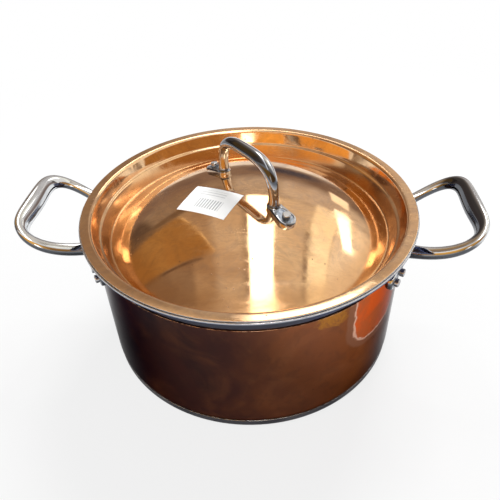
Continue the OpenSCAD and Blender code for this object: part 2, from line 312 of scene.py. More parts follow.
def roughened(tree, rough, layers):
    """Roughness with more added. Each layer is a mask and what it adds."""
    for mask, added in layers:
        rough = calc(tree, "MULTIPLY_ADD", mask, added, rough)
    return rough


def ranged(tree, value, low, high, to_low=0.0, to_high=1.0):
    """Value moved from one range to another, with soft ends."""
    feeds = {"Value": value, "From Min": low, "From Max": high, "To Min": to_low, "To Max": to_high}
    return put(tree, "ShaderNodeMapRange", feeds, interpolation_type="SMOOTHSTEP").outputs["Result"]


def between(tree, value, low, high, soft):
    """1 between two limits, with soft borders."""
    over = ranged(tree, value, low - soft, low + soft)
    under = ranged(tree, value, high + soft, high - soft)
    return calc(tree, "MULTIPLY", over, under)


def noise(tree, vector, scale, detail=3.0, roughness=0.5, distortion=0.0):
    """Value of a noise texture."""
    feeds = {"Vector": vector, "Scale": scale, "Detail": detail, "Roughness": roughness,
             "Distortion": distortion}
    return put(tree, "ShaderNodeTexNoise", feeds).outputs["Fac"]


def out_from_axis(tree, place):
    """Distance from the pot's axis."""
    return vector_value(tree, "LENGTH", vector_calc(tree, "MULTIPLY", place, (1, 1, 0)))


def facing(tree, lean):
    """How far the surface faces along a direction."""
    normal = put(tree, "ShaderNodeTexCoord").outputs["Normal"]
    return vector_value(tree, "DOT_PRODUCT", normal, lean)


# ---- shared effects ---------------------------------------------------------------------------

def new_group(name, inputs, outputs):
    """Empty shader group with its sockets. Returns it, the sockets to read and the sockets to feed."""
    group = bpy.data.node_groups.new(name, "ShaderNodeTree")
    for socket, kind, value in inputs:
        made = group.interface.new_socket(socket, in_out="INPUT", socket_type=kind)
        made.default_value = value
    for socket, kind in outputs:
        group.interface.new_socket(socket, in_out="OUTPUT", socket_type=kind)
    start = group.nodes.new("NodeGroupInput")
    end = group.nodes.new("NodeGroupOutput")
    return group, start.outputs, end.inputs


def wiped_marks_group():
    """Cloudy marks that a cloth and fingers leave on polished metal."""
    group, start, end = new_group(
        "wiped marks",
        [("Vector", VECTOR, (0, 0, 0)), ("Size", FLOAT, 20.0), ("Streak", FLOAT, 4.0)],
        [("Clouds", FLOAT), ("Streaks", FLOAT)],
    )
    clouds = noise(group, start["Vector"], scale=start["Size"], detail=5.0, roughness=0.55, distortion=0.6)
    stretch = joined(group, 1.0, start["Streak"], 1.0)
    feeds = {"Vector": start["Vector"], "Rotation": (0.0, 0.0, 0.6), "Scale": stretch}
    bent = put(group, "ShaderNodeMapping", feeds).outputs[0]
    finer = calc(group, "MULTIPLY", start["Size"], 1.4)
    lines = noise(group, bent, scale=finer, detail=4.0, roughness=0.6, distortion=0.9)
    group.links.new(ranged(group, clouds, 0.36, 0.66), end["Clouds"])
    group.links.new(ranged(group, lines, 0.45, 0.72), end["Streaks"])
    return group


def turned_lines_group():
    """Fine lines that run round the axis, as left by spinning and polishing."""
    group, start, end = new_group(
        "turned lines",
        [("Vector", VECTOR, (0, 0, 0)), ("Pitch", FLOAT, 900.0), ("Length", FLOAT, 2.5)],
        [("Lines", FLOAT), ("Bands", FLOAT)],
    )
    x, y, z = xyz(group, start["Vector"])
    across = calc(group, "MULTIPLY", out_from_axis(group, start["Vector"]), start["Pitch"])
    up = calc(group, "MULTIPLY", z, start["Pitch"])
    along = calc(group, "MULTIPLY", calc(group, "ARCTAN2", y, x), start["Length"])
    spun = joined(group, across, up, along)
    group.links.new(noise(group, spun, scale=1.0, detail=2.0, roughness=0.6), end["Lines"])
    group.links.new(noise(group, spun, scale=0.06, detail=2.0, roughness=0.5), end["Bands"])
    return group


def edge_wear_group():
    """Mask of worn outer edges, broken up by noise, and a normal that rounds them."""
    group, start, end = new_group(
        "edge wear",
        [("Vector", VECTOR, (0, 0, 0)), ("Width", FLOAT, 0.0006)],
        [("Mask", FLOAT), ("Normal", VECTOR)],
    )
    rounded = put(group, "ShaderNodeBevel", {"Radius": start["Width"]}, samples=4).outputs[0]
    plain = put(group, "ShaderNodeNewGeometry").outputs["Normal"]
    edge = ranged(group, vector_value(group, "DOT_PRODUCT", rounded, plain), 0.999, 0.93)
    broken = ranged(group, noise(group, start["Vector"], scale=420.0, detail=3.0, roughness=0.6), 0.35, 0.6)
    group.links.new(calc(group, "MULTIPLY", edge, broken, clamp=True), end["Mask"])
    group.links.new(rounded, end["Normal"])
    return group


def specks_group():
    """Small dark or dull spots, such as dried drops and dust."""
    group, start, end = new_group(
        "specks",
        [("Vector", VECTOR, (0, 0, 0)), ("Density", FLOAT, 160.0), ("Size", FLOAT, 0.1)],
        [("Mask", FLOAT)],
    )
    feeds = {"Vector": start["Vector"], "Scale": start["Density"]}
    cells = put(group, "ShaderNodeTexVoronoi", feeds, feature="F1")
    near = calc(group, "LESS_THAN", cells.outputs["Distance"], start["Size"])
    chosen = ranged(group, noise(group, start["Vector"], scale=35.0, detail=2.0), 0.5, 0.62)
    group.links.new(calc(group, "MULTIPLY", near, chosen), end["Mask"])
    return group


WIPED = wiped_marks_group()
TURNED = turned_lines_group()
WORN = edge_wear_group()
SPECKS = specks_group()


def wiped_marks(tree, place, size, streak):
    """Clouds and Streaks of wiped marks."""
    feeds = {"Vector": place, "Size": size, "Streak": streak}
    return put(tree, "ShaderNodeGroup", feeds, node_tree=WIPED).outputs


def turned_lines(tree, place, pitch, length):
    """Lines and Bands that run round the axis."""
    feeds = {"Vector": place, "Pitch": pitch, "Length": length}
    return put(tree, "ShaderNodeGroup", feeds, node_tree=TURNED).outputs


def edge_wear(tree, place, width):
    """Mask and Normal of worn edges."""
    return put(tree, "ShaderNodeGroup", {"Vector": place, "Width": width}, node_tree=WORN).outputs


def specks(tree, place, density, size):
    """Mask of small spots."""
    feeds = {"Vector": place, "Density": density, "Size": size}
    return put(tree, "ShaderNodeGroup", feeds, node_tree=SPECKS).outputs["Mask"]


def new_material(name):
    """Material with a Principled shader, and the place on the object as a vector."""
    material = bpy.data.materials.new(name)
    material.use_nodes = True
    tree = material.node_tree
    tree.nodes.clear()
    shader = put(tree, "ShaderNodeBsdfPrincipled")
    put(tree, "ShaderNodeOutputMaterial", {"Surface": shader.outputs[0]})
    place = put(tree, "ShaderNodeTexCoord").outputs["Object"]
    return material, tree, shader, place


def finish_metal(tree, shader, tone, rough, height, normal, strength, depth):
    """Joins colour, roughness and relief to a metal shader."""
    shader.inputs["Metallic"].default_value = 1.0
    tree.links.new(tone, shader.inputs["Base Color"])
    tree.links.new(rough, shader.inputs["Roughness"])
    feeds = {"Strength": strength, "Distance": depth, "Height": height, "Normal": normal}
    tree.links.new(put(tree, "ShaderNodeBump", feeds).outputs[0], shader.inputs["Normal"])


# ---- metals -----------------------------------------------------------------------------------

def lid_copper():
    """Polished copper with rag marks, brown tarnish, bright worn edges and painted shade in the deep ring.
    """
    material, tree, shader, place = new_material("lid_copper")
    marks = wiped_marks(tree, place, size=17.0, streak=3.0)
    fine = wiped_marks(tree, place, size=62.0, streak=5.0)
    lines = turned_lines(tree, place, pitch=1500.0, length=3.0)
    worn = edge_wear(tree, place, width=0.0007)
    spots = specks(tree, place, density=150.0, size=0.09)
    stained = tarnish(tree, place)
    smears = noise(tree, place, scale=55.0, detail=6.0, roughness=0.7, distortion=1.6)
    groove = groove_shade_mask(tree, place)
    tone = blend_of(tree, marks["Clouds"], LID_BRIGHT, LID_WARM)
    tone = layered(tree, tone, (
        (fine["Streaks"], 0.4, LID_STREAK),
        (stained, 1.0, LID_TARNISH),
        (ranged(tree, smears, 0.42, 0.68), 0.5, LID_GREASE),
        (groove, 0.6, LID_GROOVE_SHADE),
        (spots, 0.6, LID_SPECK),
        (worn["Mask"], 0.4, LID_WORN),
    ))
    rough = ranged(tree, marks["Streaks"], 0.0, 1.0, 0.04, 0.13)
    rough = roughened(tree, rough, ((fine["Clouds"], 0.05), (stained, 0.08), (groove, 0.07), (spots, 0.25)))
    height = calc(tree, "MULTIPLY_ADD", lines["Bands"], 0.5, lines["Lines"])
    finish_metal(tree, shader, tone, rough, height, worn["Normal"], strength=0.01, depth=RELIEF)
    return material


def tarnish(tree, place):
    """Brown cloudy patches, most of them towards the back right of the lid."""
    away = vector_value(tree, "DISTANCE", place, TARNISH_PLACE)
    dense = noise(tree, place, scale=22.0, detail=5.0, roughness=0.6, distortion=0.8)
    loose = noise(tree, place, scale=13.0, detail=6.0, roughness=0.62, distortion=1.2)
    shaped = calc(tree, "MULTIPLY", ranged(tree, away, *TARNISH_FADE), ranged(tree, dense, 0.35, 0.6))
    return calc(tree, "MULTIPLY_ADD", shaped, 0.75, ranged(tree, loose, 0.48, 0.74, 0.0, 0.6), clamp=True)


def groove_shade_mask(tree, place):
    """Mask of the deep ring round the dome, where shade is painted."""
    radius = out_from_axis(tree, place)
    inner = ranged(tree, radius, *RING_INNER_FADE)
    return calc(tree, "MULTIPLY", inner, ranged(tree, radius, *RING_OUTER_FADE))


def wall_copper():
    """Copper of the wall, mirror smooth, darkened with painted reflections in brown clouds, and one painted
    bright reflection spot.
    """
    material, tree, shader, place = new_material("wall_copper")
    marks = wiped_marks(tree, place, size=13.0, streak=0.35)
    fine = wiped_marks(tree, place, size=70.0, streak=0.2)
    lines = turned_lines(tree, place, pitch=1400.0, length=2.0)
    worn = edge_wear(tree, place, width=0.0006)
    spots = specks(tree, place, density=130.0, size=0.08)
    tone = wall_painted_reflections(tree, place, marks["Streaks"], fine["Streaks"])
    tone = painted_reflection_spot(tree, place, tone)
    tone = layered(tree, tone, ((spots, 1.0, WALL_SPECK), (worn["Mask"], 1.0, WALL_WORN)))
    rough = ranged(tree, marks["Streaks"], 0.0, 1.0, 0.08, 0.16)
    rough = roughened(tree, rough, ((fine["Clouds"], 0.05), (spots, 0.2)))
    height = calc(tree, "ADD", lines["Bands"], lines["Lines"])
    finish_metal(tree, shader, tone, rough, height, worn["Normal"], strength=0.02, depth=RELIEF)
    shader.inputs["Specular Tint"].default_value = WALL_GRAZING_TINT
    return material


def wall_painted_reflections(tree, place, broad_streaks, fine_streaks):
    """Painted reflections on the copper: almost black at the left, browner to the right with lighter
    streaks, and dark again at the right end.
    """
    x = xyz(tree, place)[0]
    cloud = noise(tree, place, scale=9.0, detail=4.0, roughness=0.55, distortion=0.8)
    browner = calc(tree, "MULTIPLY_ADD", x, 7.5, calc(tree, "MULTIPLY", cloud, 2.3))
    streaks = calc(tree, "MULTIPLY", broad_streaks, ranged(tree, browner, 0.2, 1.4))
    # the dark and brown tones are painted reflections of dark surroundings
    tone = blend_of(tree, ranged(tree, browner, 0.3, 1.1), WALL_BLACK, WALL_DARK)
    return layered(tree, tone, (
        (ranged(tree, browner, 1.0, 2.0), 1.0, WALL_BROWN),
        (streaks, 0.7, WALL_REFLECTED_STREAK),
        (fine_streaks, 0.3, WALL_DULL),
        (ranged(tree, x, *RIGHT_END_FADE), 0.8, WALL_RIGHT_END),
    ))


def off_patch(tree, place, patch, power):
    """How far a place on the wall is from the middle of a patch: below 1 it lies on the patch."""
    x, y, z = xyz(tree, place)
    turn, half_turn, middle_z, half_z = patch
    along = calc(tree, "DIVIDE", calc(tree, "SUBTRACT", calc(tree, "ARCTAN2", y, x), turn), half_turn)
    above = calc(tree, "DIVIDE", calc(tree, "SUBTRACT", z, middle_z), half_z)
    sideways = calc(tree, "POWER", calc(tree, "ABSOLUTE", along), power)
    upwards = calc(tree, "POWER", calc(tree, "ABSOLUTE", above), power)
    return calc(tree, "ADD", sideways, upwards)


def painted_reflection_spot(tree, place, tone):
    """Painted bright reflection near the right handle: orange copper with a pale border."""
    torn = noise(tree, place, scale=85.0, detail=5.0, roughness=0.65)
    ragged = calc(tree, "MULTIPLY_ADD", torn, 0.7, off_patch(tree, place, REFLECTED_SPOT, 3.0))
    fine = noise(tree, place, scale=170.0, detail=4.0, roughness=0.7, distortion=1.0)
    broad = noise(tree, place, scale=38.0, detail=4.0, roughness=0.6, distortion=0.5)
    gold = blend_of(tree, fine, GOLD_DARK, GOLD_BRIGHT)
    orange = blend_of(tree, ranged(tree, broad, 0.4, 0.65), SPOT_ORANGE, SPOT_DEEP)
    return layered(tree, tone, (
        (ranged(tree, ragged, 2.10, 1.80), 0.7, SPOT_HALO),
        (painted_gold_reflection(tree, place), 0.85, gold),
        (ranged(tree, ragged, 1.36, 1.22), 1.0, SPOT_BORDER),
        (ranged(tree, ragged, 1.20, 1.10), 1.0, orange),
    ))


def painted_gold_reflection(tree, place):
    """Torn bright patch of painted reflection beside the orange spot, high on the wall."""
    torn = noise(tree, place, scale=90.0, detail=6.0, roughness=0.75, distortion=1.5)
    ragged = calc(tree, "MULTIPLY_ADD", torn, 4.4, off_patch(tree, place, GOLD_REFLECTION, 2.0))
    return ranged(tree, ragged, 3.2, 2.3)


def turned_steel(name, kind, overlay=None):
    """Drawn steel, brushed round the axis. The last argument changes its colour last, as on the pot's band
    where a dark reflection is painted.
    """
    light, dark, smoothest, roughest = kind
    material, tree, shader, place = new_material(name)
    marks = wiped_marks(tree, place, size=24.0, streak=0.5)
    lines = turned_lines(tree, place, pitch=2200.0, length=1.5)
    worn = edge_wear(tree, place, width=0.0006)
    spots = specks(tree, place, density=170.0, size=0.08)
    tone = blend_of(tree, marks["Clouds"], light, dark)
    tone = layered(tree, tone, ((spots, 0.5, TURNED_SPECK), (worn["Mask"], 0.7, TURNED_WORN)))
    if overlay:
        tone = overlay(tree, place, tone)
    rough = ranged(tree, lines["Lines"], 0.3, 0.7, smoothest, roughest)
    rough = roughened(tree, rough, ((marks["Streaks"], 0.06),))
    height = calc(tree, "ADD", lines["Bands"], lines["Lines"])
    finish_metal(tree, shader, tone, rough, height, worn["Normal"], strength=0.05, depth=RELIEF)
    return material


def painted_band_reflection(tree, place, tone):
    """Painted dark blue reflection on the bare band under the rim of the pot."""
    outside = ranged(tree, out_from_axis(tree, place), *BAND_R_FADE)
    below = ranged(tree, xyz(tree, place)[2], *BAND_Z_FADE)
    cloud = noise(tree, place, scale=14.0, detail=4.0, roughness=0.6, distortion=0.6)
    blue = blend_of(tree, ranged(tree, cloud, 0.4, 0.65), BAND_DARK, BAND_LIGHT)
    return blend_of(tree, calc(tree, "MULTIPLY", outside, below), tone, blue)


def loops_painted_shade(tree):
    """Painted shade below the side handles and on the left flank of their grips."""
    x = xyz(tree, put(tree, "ShaderNodeTexCoord").outputs["Object"])[0]
    grip = ranged(tree, calc(tree, "ABSOLUTE", x), *GRIP_FADE)
    lit = calc(tree, "MULTIPLY_ADD", grip, facing(tree, GRIP_SIDE), facing(tree, LOOP_TOP))
    return ranged(tree, lit, 0.46, 0.14, 0.0, 0.9)


def arch_painted_shade(tree):
    """Painted shade on the upper front left of the lid's arch."""
    flank = ranged(tree, facing(tree, ARCH_BRIGHT_SIDE), 0.50, 0.25, 0.0, 0.9)
    return calc(tree, "MULTIPLY", flank, ranged(tree, facing(tree, UPWARD), 0.05, 0.30))


def rivets_painted_shade(tree):
    """Painted shade on the lower half of a rivet's head."""
    return ranged(tree, facing(tree, UPWARD), 0.40, 0.0, 0.0, 0.5)


def polished_steel(name, kind, shade_of):
    """Mirror polished steel with finger marks and fine scratches. The last argument says where shade is
    painted dark.
    """
    light, dark, smoothest, roughest = kind
    material, tree, shader, place = new_material(name)
    marks = wiped_marks(tree, place, size=60.0, streak=0.4)
    hairs = wiped_marks(tree, place, size=210.0, streak=9.0)
    worn = edge_wear(tree, place, width=0.0004)
    spots = specks(tree, place, density=260.0, size=0.09)
    tone = blend_of(tree, marks["Clouds"], light, dark)
    tone = layered(tree, tone, (
        (shade_of(tree), 1.0, PAINTED_STEEL_SHADE),
        (spots, 0.5, POLISHED_SPECK),
        (worn["Mask"], 0.5, POLISHED_WORN),
    ))
    rough = ranged(tree, marks["Clouds"], 0.0, 1.0, smoothest, roughest)
    rough = roughened(tree, rough, ((hairs["Streaks"], 0.05),))
    height = hairs["Streaks"]
    finish_metal(tree, shader, tone, rough, height, worn["Normal"], strength=0.03, depth=FINE_RELIEF)
    return material


def cast_face():
    """Unpolished cast steel in the hollow of a foot, mottled and slightly blue."""
    material, tree, shader, place = new_material("cast_face")
    mottle = noise(tree, place, scale=520.0, detail=5.0, roughness=0.7, distortion=0.4)
    broad = noise(tree, place, scale=130.0, detail=3.0, roughness=0.5, distortion=0.2)
    worn = edge_wear(tree, place, width=0.0004)
    tone = blend_of(tree, ranged(tree, mottle, 0.35, 0.65), CAST_DARK, CAST_LIGHT)
    tone = layered(tree, tone, ((ranged(tree, broad, 0.45, 0.7), 0.5, CAST_CLOUD),))
    rough = ranged(tree, mottle, 0.3, 0.7, 0.28, 0.5)
    finish_metal(tree, shader, tone, rough, mottle, worn["Normal"], strength=0.4, depth=RELIEF)
    return material


def aluminium_core():
    """Dull aluminium of the disc in the base."""
    material, tree, shader, place = new_material("aluminium_core")
    lines = turned_lines(tree, place, pitch=900.0, length=1.0)
    worn = edge_wear(tree, place, width=0.0006)
    tone = blend_of(tree, lines["Bands"], CORE_LIGHT, CORE_DARK)
    rough = ranged(tree, lines["Lines"], 0.3, 0.7, 0.35, 0.5)
    finish_metal(tree, shader, tone, rough, lines["Lines"], worn["Normal"], strength=0.1, depth=RELIEF)
    return material


# ---- label ------------------------------------------------------------------------------------

def label_paper():
    """White paper with faint fibres, soft creases and a plain pattern of even grey bars."""
    material, tree, shader, place = new_material("label_paper")
    moved = vector_calc(tree, "SUBTRACT", place, (LABEL_X * MM, LABEL_Y * MM, 0.0))
    feeds = {"Vector": moved, "Angle": -LABEL_TURN}
    turned = put(tree, "ShaderNodeVectorRotate", feeds, rotation_type="Z_AXIS").outputs[0]
    along, across = xyz(tree, turned)[:2]
    fibre = noise(tree, place, scale=900.0, detail=5.0, roughness=0.7, distortion=0.3)
    cloud = ranged(tree, noise(tree, place, scale=60.0, detail=3.0, roughness=0.5), 0.5, 0.75)
    tone = blend_of(tree, fibre, PAPER_WHITE, PAPER_FIBRE)
    tone = layered(tree, tone, (
        (cloud, 0.2, PAPER_STAIN),
        (label_bars(tree, along, across), 0.7, PAPER_GREY),
    ))
    shader.inputs["Metallic"].default_value = 0.0
    tree.links.new(tone, shader.inputs["Base Color"])
    tree.links.new(ranged(tree, fibre, 0.3, 0.7, 0.5, 0.65), shader.inputs["Roughness"])
    bump = put(tree, "ShaderNodeBump", {"Strength": 0.15, "Distance": RELIEF, "Height": fibre})
    tree.links.new(bump.outputs[0], shader.inputs["Normal"])
    return material


def within(tree, value, limits):
    """1 where the value lies between two limits."""
    over = calc(tree, "GREATER_THAN", value, limits[0])
    under = calc(tree, "LESS_THAN", value, limits[1])
    return calc(tree, "MULTIPLY", over, under)


def stripes(tree, along, across, counted, pattern):
    """Even stripes, counted along one direction and kept to a zone of the label."""
    per_metre, share, zone_along, zone_across = pattern
    saw = calc(tree, "FRACT", calc(tree, "MULTIPLY", counted, per_metre))
    zone = calc(tree, "MULTIPLY", within(tree, along, zone_along), within(tree, across, zone_across))
    return calc(tree, "MULTIPLY", calc(tree, "LESS_THAN", saw, share), zone)


def label_bars(tree, along, across):
    """A block of even upright bars and three fainter even lines above it."""
    bars = stripes(tree, along, across, along, UPRIGHT_BARS)
    rows = stripes(tree, along, across, across, LEVEL_LINES)
    return calc(tree, "MAXIMUM", bars, calc(tree, "MULTIPLY", rows, 0.6))


# ---- meshes -----------------------------------------------------------------------------------

def skin(mesh, rings):
    """Faces from each ring of corners to the next."""
    made = []
    for low, high in zip(rings, rings[1:]):
        for k in range(len(low)):
            m = (k + 1) % len(low)
            made.append(mesh.faces.new((low[k], low[m], high[m], high[k])))
    return made


def linked(name, data):
    """Object in the scene with its data."""
    made = bpy.data.objects.new(name, data)
    bpy.context.scene.collection.objects.link(made)
    return made


def finished_piece(name, mesh, materials):
    """Turns finished mesh work into a smooth object."""
    bmesh.ops.recalc_face_normals(mesh, faces=mesh.faces)
    data = bpy.data.meshes.new(name)
    mesh.to_mesh(data)
    mesh.free()
    for material in materials:
        data.materials.append(material)
    data.shade_smooth()
    data.set_sharp_from_angle(angle=SHARP_FROM)
    return linked(name, data)


# ---- handles ----------------------------------------------------------------------------------

class Bar:
    """Sizes of one bent bar, in mm."""

    def __init__(self, reach, half_span, power, leg, half_in, half_up, root_turn, foot_t):
        self.reach = reach
        self.half_span = half_span
        self.power = power
        self.leg = leg
        self.half_in = half_in
        self.half_up = half_up
        self.root_turn = root_turn
        self.foot_t = foot_t
        self.swell = 0.0
        self.lean = 0.0
        self.pinch_share = 0.0
        self.slope = 0.0


def bend_line(bar):
    """Middle line of a bent bar in its own plane, from one root to the other."""
    line = []
    for i in range(2 * QUARTER_STEPS + 1):
        way = i / QUARTER_STEPS - 1
        turn = math.copysign(math.pi / 2 * (1 - math.sin(math.pi / 2 * (1 - abs(way))) ** 3), way)
        x = bar.reach * max(math.cos(turn), 0.0) ** (2 / bar.power)
        y = bar.half_span * math.copysign(abs(math.sin(turn)) ** (2 / bar.power), turn)
        line.append(Vector((x, y * (1 - bar.pinch_share * (1 - x / bar.reach) ** 2))))
    return line


def bar_section(bar, point):
    """Half width, half height and lean of a bent bar at one point of its middle line."""
    out_share = point.x / bar.reach
    mid_share = (1 - (point.y / bar.half_span) ** 2) ** 3 * out_share ** 4
    root = bar.leg * (1 + ROOT_FLARE_SHARE * math.exp(-point.x / ROOT_FLARE_LEN))
    root += ROOT_FILLET * math.exp(-max(point.x - bar.foot_t / 2, 0.0) / ROOT_FILLET)
    wide = root + (bar.half_in - bar.leg) * out_share ** 2 + bar.swell * mid_share
    tall = root + (bar.half_up - bar.leg) * out_share ** 2 + bar.swell * mid_share / 3
    return wide, tall, bar.lean * mid_share


def bar_ring(bar, point, along):
    """Ring of points round a bent bar at one point of its middle line."""
    wide, tall, lean = bar_section(bar, point)
    side = Vector((-along.y, along.x))
    middle = point - Vector((lean, 0.0))
    ring = []
    for k in range(BAR_SIDES):
        turn = 2 * math.pi * k / BAR_SIDES
        spot = middle + side * wide * math.cos(turn)
        climb = bar.slope * spot.x * (CLIMB_SHARE + (1 - CLIMB_SHARE) * spot.x / bar.reach)
        ring.append(Vector((spot.x, spot.y, tall * math.sin(turn) + climb)))
    return ring


def bar_rings(bar):
    """Rings of points round a bent bar, square to the wall at its roots."""
    line = bend_line(bar)
    last = len(line) - 1
    rings = []
    for i, point in enumerate(line):
        free = (line[min(i + 1, last)] - line[max(i - 1, 0)]).normalized()
        way = 1 if i < QUARTER_STEPS else -1
        rooted = Vector((way * math.cos(bar.root_turn), -math.sin(bar.root_turn)))
        along = free.lerp(rooted, math.exp(-point.x / ROOT_TURN_LEN)).normalized()
        rings.append(bar_ring(bar, point, along))
    return rings


def add_bar(mesh, bar, place):
    """Adds a closed bar. place turns a point of the bar into a point of the pot."""
    rings = [[mesh.verts.new(place(point) * MM) for point in ring] for ring in bar_rings(bar)]
    skin(mesh, rings)
    mesh.faces.new(rings[0][::-1])
    mesh.faces.new(rings[-1])


def foot_ring(plate, inset):
    """Outline of a plate with a round heel and a round tip, drawn in by an inset."""
    heel, heel_half, tip, tip_half = plate
    tilt = math.asin((heel_half - tip_half) / (tip - heel))
    ring = []
    for middle, half, start, end in (
        (tip, tip_half, tilt, math.pi - tilt),
        (heel, heel_half, math.pi - tilt, 2 * math.pi + tilt),
    ):
        for i in range(FOOT_STEPS + 1):
            turn = start + (end - start) * i / FOOT_STEPS
            reach = half - inset
            ring.append((reach * math.cos(turn), middle + reach * math.sin(turn)))
    return ring


def foot_layers(plate, hollow, thick):
    """Outlines and heights of a foot, over its edge and border, and where its hollow face starts."""
    core = min(plate[1], plate[3]) - INNER_RING
    layers = [(foot_ring(plate, core), 0.0), (foot_ring(plate, 0.0), 0.0)]
    for i in range(FOOT_ROUND_STEPS + 1):
        turn = math.pi / 2 * i / FOOT_ROUND_STEPS
        inset = FOOT_ROUND * (1 - math.cos(turn))
        layers.append((foot_ring(plate, inset), thick - FOOT_ROUND * (1 - math.sin(turn))))
    layers.append((foot_ring(hollow, -HOLLOW_SLOPE), thick))
    face_from = len(layers)
    core = min(hollow[1], hollow[3]) - INNER_RING
    for i in range(HOLLOW_STEPS + 1):
        layers.append((foot_ring(hollow, core * i / HOLLOW_STEPS), thick - HOLLOW_DIP))
    return layers, face_from


def add_foot(mesh, plate, hollow, thick, place):
    """Adds one closed foot plate. place turns across, along and height into a point."""
    layers, face_from = foot_layers(plate, hollow, thick)
    rings = [[mesh.verts.new(place(w, y, height) * MM) for w, y in outline] for outline, height in layers]
    skin(mesh, rings[:face_from + 1])
    face = skin(mesh, rings[face_from:])
    mesh.faces.new(rings[0][::-1])
    face.append(mesh.faces.new(rings[-1]))
    for part in face:
        part.material_index = 1


def wall_point(side, middle, across, along, height):
    """Point on a foot that is bent to the wall, on one side of the handle."""
    radius = SLEEVE_R + height
    out = math.sqrt(radius ** 2 - along ** 2)
    x = out * math.cos(middle) - along * math.sin(middle)
    y = out * math.sin(middle) + along * math.cos(middle)
    return Vector((x, side * y, POT_H - FOOT_DROP + across))


def side_handle(name, turn, materials):
    """One side handle: a rising loop and its two feet on the wall."""
    half_span = HANDLE_SPAN / 2
    mid_r = SLEEVE_R + PAD_T / 2
    root_turn = math.asin(half_span * (1 - LEG_PINCH_SHARE) / mid_r)
    root = mid_r * math.cos(root_turn)
    reach = SLEEVE_R + HANDLE_REACH - root
    bar = Bar(reach, half_span, HANDLE_POWER, LEG_HALF, GRIP_HALF, GRIP_DEPTH, root_turn, PAD_T)
    bar.swell = GRIP_SWELL
    bar.lean = GRIP_LEAN
    bar.pinch_share = LEG_PINCH_SHARE
    bar.slope = math.tan(HANDLE_RISE)
    spin = Matrix.Rotation(turn, 3, "Z")
    mesh = bmesh.new()
    add_bar(mesh, bar, lambda p: spin @ (p + Vector((root, 0, POT_H - FOOT_DROP))))
    heel_angle = root_turn + HEEL_LEAD
    middle = (heel_angle + RIVET_ANGLE_B) / 2
    heel = (SLEEVE_R + PAD_T) * math.sin(heel_angle - middle)
    tip = (SLEEVE_R + PAD_T) * math.sin(RIVET_ANGLE_B - middle)
    plate = (heel, PAD_HEEL_HALF, tip, PAD_TIP_HALF)
    hollow = (heel + HOLLOW_LEAD, PAD_HEEL_HALF - HOLLOW_HEEL_BORDER, tip, PAD_TIP_HALF - HOLLOW_TIP_BORDER)
    for side in (1, -1):
        add_foot(mesh, plate, hollow, PAD_T, lambda w, y, h: spin @ wall_point(side, middle, w, y, h))
    return finished_piece(name, mesh, materials)


def dome_point(side, across, along, height):
    """Point on a foot that lies on the dome, on one side of the arch."""
    drop = math.sqrt(DOME_R ** 2 - across ** 2 - along ** 2)
    return Vector((side * across, side * along, DOME_Z + drop + height))


def lid_arch(name, materials):
    """Handle of the lid: an arch and its two feet on the dome."""
    half_span = ARCH_SPAN / 2
    root_r = DOME_R + LID_PAD_T / 2
    root_turn = math.asin(half_span / root_r)
    root_z = DOME_Z + root_r * math.cos(root_turn)
    reach = POT_H + ARCH_RISE - root_z
    bar = Bar(reach, half_span, ARCH_POWER, ARCH_LEG_HALF, ARCH_DEPTH, ARCH_HALF, root_turn, LID_PAD_T)
    spin = Matrix.Rotation(LID_TURN + math.pi / 2, 3, "Z")
    mesh = bmesh.new()
    add_bar(mesh, bar, lambda p: spin @ Vector((-p.z, p.y, p.x + root_z)))
    plate = (half_span, LID_PAD_HEEL_HALF, LID_PAD_TIP_R, LID_PAD_TIP_HALF)
    hollow = (half_span + LID_HOLLOW_LEAD, LID_PAD_HEEL_HALF - LID_HOLLOW_HEEL_BORDER,
              LID_PAD_TIP_R, LID_PAD_TIP_HALF - LID_HOLLOW_TIP_BORDER)
    for side in (1, -1):
        add_foot(mesh, plate, hollow, LID_PAD_T, lambda w, y, h: spin @ dome_point(side, w, y, h))
    return finished_piece(name, mesh, materials)


# ---- top sheet of the lid ---------------------------------------------------------------------

def bend(before, point, after, size):
    """Short curve round one corner of a profile."""
    start = point + (before - point).normalized() * size
    end = point + (after - point).normalized() * size
    curve = []
    for i in range(CORNER_STEPS + 1):
        share = i / CORNER_STEPS
        curve.append(start.lerp(point, share).lerp(point.lerp(end, share), share))
    return curve


def lid_line():
    """Upper side of the lid's sheet, from the top of the dome to the outer edge."""
    dome_end = CREASE_R - CREASE_ROUND
    line = []
    for i in range(DOME_STEPS + 1):
        radius = dome_end * i / DOME_STEPS
        line.append(Vector((radius, DOME_Z + math.sqrt(DOME_R ** 2 - radius ** 2))))
    crease = Vector((CREASE_R, POT_H - CREASE_DEPTH))
    ledge = Vector((PLUG_R - LEDGE_W, POT_H - PLUG_DEPTH - LEDGE_DROP))
    plug = Vector((PLUG_R, POT_H - PLUG_DEPTH))
    flange = Vector((FLANGE_IN_R, POT_H - FLANGE_TILT))
    edge = Vector((FLANGE_R, POT_H))
    line += bend(line[-1], crease, ledge, CREASE_ROUND)[1:]
    line += bend(crease, ledge, plug, LEDGE_ROUND)
    line += bend(ledge, plug, flange, LEDGE_ROUND)
    line += bend(plug, flange, edge, PLUG_ROUND)
    return line + bend(flange, edge, edge - Vector((0, SKIN_T)), SKIN_EDGE)


def lowered(line, by):
    """The same profile, moved square to itself by the thickness of the sheet."""
    moved = [line[0] - Vector((0, by))]
    for before, point, after in zip(line, line[1:], line[2:]):
        along = (after - before).normalized()
        moved.append(point + Vector((along.y, -along.x)) * by)
    return moved


def turned_ring(mesh, point):
    """Ring of corners round the axis through one point of a profile."""
    ring = []
    for k in range(TURN_STEPS):
        turn = 2 * math.pi * k / TURN_STEPS
        corner = Vector((point.x * math.cos(turn), point.x * math.sin(turn), point.y))
        ring.append(mesh.verts.new(corner * MM))
    return ring


